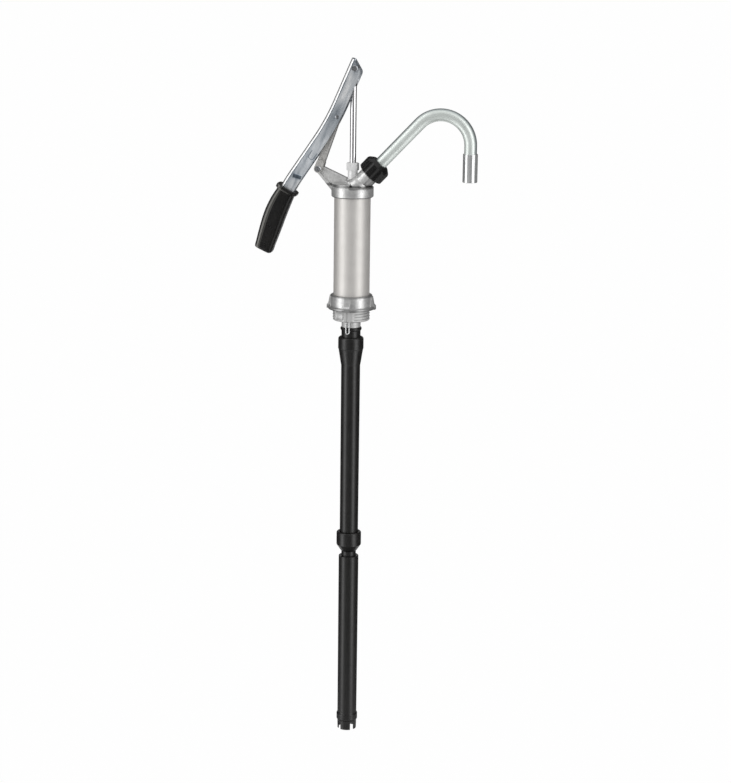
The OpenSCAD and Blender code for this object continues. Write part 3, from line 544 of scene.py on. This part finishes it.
def make_cutter(name, verts, faces):
    """A hidden mesh that a modifier cuts with."""
    mesh = bpy.data.meshes.new(name)
    mesh.from_pydata(verts, [], faces)
    bm = bmesh.new()
    bm.from_mesh(mesh)
    bmesh.ops.recalc_face_normals(bm, faces=bm.faces)
    bm.to_mesh(mesh)
    bm.free()
    mesh.polygons.foreach_set("use_smooth", [True] * len(mesh.polygons))
    mesh.materials.append(MATS["cast_alloy"])
    cutter = bpy.data.objects.new(name, mesh)
    cutter.hide_render = True
    cutter.hide_viewport = True
    scene.collection.objects.link(cutter)
    return cutter


def cut_bung_thread():
    """Cuts the right-hand thread in two half shells, each with a smooth panel and a parting line."""
    grooves, panels = ([], []), ([], [])
    half_turn = 0
    while THREAD_END + THREAD_PITCH * (half_turn + 1) / 2 < THREAD_TOP:
        turned = half_turn * 180
        end = turned + PANEL_ANGLE - 180 - PANEL_HALF - PANEL_GAP
        loft(groove_run(turned - 90 + SEAM_GAP, end), *grooves)
        half_turn += 1
    for back in (0, 180):
        loft(panel_block(PANEL_ANGLE - back), *panels)
        loft(rib_block(RIB_ANGLE - back), *panels)
    base = nodes["bung_base"]
    weld = base.modifiers.new("weld", "WELD")
    weld.merge_threshold = WELD_REACH
    for name, shape in (("thread", grooves), ("panels", panels)):
        cut = base.modifiers.new(name, "BOOLEAN")
        cut.operation = "DIFFERENCE"
        cut.solver = "MANIFOLD"
        cut.object = make_cutter(name + "_cutter", *shape)


cut_bung_thread()


# Stage and light: lengths in metres, angles in degrees to the right of the camera, lamps in watts
WORLD_LIGHT = 0.5
WHITE = (1, 1, 1, 1)
FLOOR_DROP = 0.7
FLOOR_Z = cad_box[0][Z] - FLOOR_DROP
FLOOR_HALF = 90.0
FLOOR_COLOUR = (0.9, 0.9, 0.9, 1)
FLOOR_ROUGH = 0.9
FLOOR_GLOSS = 0.1
FLOOR_WHITE = 0.985
LAMP_DISTANCE = 1.4
LAMP_Z = 0.1
LAMP_AIM = Vector((0, 0, -0.05))
LAMP_WIDTH = 0.45
LAMP_HEIGHT = 3.0
LAMPS = {"key_left": (-64, 9.5), "key_right": (50, 9.0)}
FLAG_R = 1.6
FLAG_TOP = 1.8
FLAG_STEPS = 12
FLAG_DARK = 0.15
FLOOR_CARD_R = 0.9
FLOOR_CARD_TONE = 0.25
FLOOR_CARD_LIFT = 0.02
FLOOR_CARD_STEPS = 48


def white_mix(tree, lit, white, share):
    """Shows this share of white to the camera and to mirror and glass rays, and stays lit for the rest."""
    path = tree.nodes.new("ShaderNodeLightPath")
    total = path.outputs["Is Camera Ray"]
    for name in ("Is Glossy Ray", "Is Transmission Ray"):
        most = tree.nodes.new("ShaderNodeMath")
        most.operation = "MAXIMUM"
        tree.links.new(total, most.inputs[0])
        tree.links.new(path.outputs[name], most.inputs[1])
        total = most.outputs[0]
    scale = tree.nodes.new("ShaderNodeMath")
    scale.operation = "MULTIPLY"
    scale.inputs[1].default_value = share
    tree.links.new(total, scale.inputs[0])
    mix = tree.nodes.new("ShaderNodeMixShader")
    for socket, value in zip(mix.inputs, (scale.outputs[0], lit, white)):
        tree.links.new(value, socket)
    return mix.outputs[0]


def make_world():
    world = bpy.data.worlds.new("studio")
    world.use_nodes = True
    tree = world.node_tree
    lit = tree.nodes["Background"]
    white = tree.nodes.new("ShaderNodeBackground")
    for node, strength in ((lit, WORLD_LIGHT), (white, 1.0)):
        node.inputs["Color"].default_value = WHITE
        node.inputs["Strength"].default_value = strength
    out = tree.nodes["World Output"]
    tree.links.new(white_mix(tree, lit.outputs[0], white.outputs[0], 1.0), out.inputs["Surface"])
    scene.world = world


def stage_mesh(name, verts, faces):
    """A new mesh object of the stage, with a node material of its own."""
    mesh = bpy.data.meshes.new(name)
    mesh.from_pydata(verts, [], faces)
    mat = bpy.data.materials.new(name)
    mat.use_nodes = True
    mesh.materials.append(mat)
    obj = bpy.data.objects.new(name, mesh)
    scene.collection.objects.link(obj)
    return obj


def make_floor():
    corners = ((-1, -1), (1, -1), (1, 1), (-1, 1))
    verts = [(x * FLOOR_HALF, y * FLOOR_HALF, FLOOR_Z) for x, y in corners]
    tree = stage_mesh("floor", verts, [(0, 1, 2, 3)]).active_material.node_tree
    bsdf = tree.nodes["Principled BSDF"]
    bsdf.inputs["Base Color"].default_value = FLOOR_COLOUR
    bsdf.inputs["Roughness"].default_value = FLOOR_ROUGH
    bsdf.inputs["Specular IOR Level"].default_value = FLOOR_GLOSS
    glow = tree.nodes.new("ShaderNodeEmission")
    glow.inputs["Strength"].default_value = 1.0
    out = tree.nodes["Material Output"]
    tree.links.new(white_mix(tree, bsdf.outputs[0], glow.outputs[0], FLOOR_WHITE), out.inputs["Surface"])


def softbox(name, angle, power):
    light = bpy.data.lights.new(name, "AREA")
    light.shape = "RECTANGLE"
    light.size = LAMP_WIDTH
    light.size_y = LAMP_HEIGHT
    light.energy = power
    obj = bpy.data.objects.new(name, light)
    obj.location = around(angle, LAMP_DISTANCE, LAMP_Z)
    obj.rotation_mode = "QUATERNION"
    obj.rotation_quaternion = (LAMP_AIM - obj.location).to_track_quat("-Z", "Y")
    scene.collection.objects.link(obj)


def card(name, verts, faces, stops):
    """A card that only mirrors see, as studios use for bright metal, toned by the angle round the pump."""
    obj = stage_mesh(name, verts, faces)
    obj.visible_camera = False
    obj.visible_diffuse = False
    obj.visible_shadow = False
    tree = obj.active_material.node_tree
    bsdf = tree.nodes["Principled BSDF"]
    bsdf.inputs["Roughness"].default_value = 1.0
    bsdf.inputs["Specular IOR Level"].default_value = 0.0
    turn = tree.nodes.new("ShaderNodeTexCoord")
    sweep = tree.nodes.new("ShaderNodeTexGradient")
    sweep.gradient_type = "RADIAL"
    tree.links.new(turn.outputs["Object"], sweep.inputs["Vector"])
    ramp = tree.nodes.new("ShaderNodeValToRGB")
    for stop, (angle, tone) in zip(ramp.color_ramp.elements, stops):
        stop.position = ((CAM_AZIMUTH + angle + 90) / 360) % 1
        stop.color = (tone, tone, tone, 1)
    tree.links.new(sweep.outputs["Fac"], ramp.inputs["Fac"])
    tree.links.new(ramp.outputs["Color"], bsdf.inputs["Base Color"])


def flag(name, start, end, first, last, radius=FLAG_R, low=FLOOR_Z, top=FLAG_TOP):
    """A curved upright card from one angle to another, and from one tone to another."""
    verts, faces = [], []
    for i in range(FLAG_STEPS + 1):
        angle = start + (end - start) * i / FLAG_STEPS
        verts += [around(angle, radius, low), around(angle, radius, top)]
    for i in range(FLAG_STEPS):
        faces.append((2 * i, 2 * i + 2, 2 * i + 3, 2 * i + 1))
    card(name, verts, faces, ((start, first), (end, last)))


def floor_card():
    """A round card that lies just over the floor, for what faces down."""
    z = FLOOR_Z + FLOOR_CARD_LIFT
    verts = [around(360 * i / FLOOR_CARD_STEPS, FLOOR_CARD_R, z) for i in range(FLOOR_CARD_STEPS)]
    stops = ((0, FLOOR_CARD_TONE), (180, FLOOR_CARD_TONE))
    card("flag_floor", verts, [tuple(range(FLOOR_CARD_STEPS))], stops)


make_world()
make_floor()
for name, (angle, power) in LAMPS.items():
    softbox(name, angle, power)
flag("flag_front", start=-42, end=28, first=0.7, last=0.22)
flag("flag_left", start=-175, end=-88, first=FLAG_DARK, last=FLAG_DARK)
flag("flag_right", start=74, end=170, first=FLAG_DARK, last=FLAG_DARK)
flag("flag_back", start=166, end=189, first=FLAG_DARK, last=FLAG_DARK, radius=1.7, low=0.12, top=3.2)
floor_card()
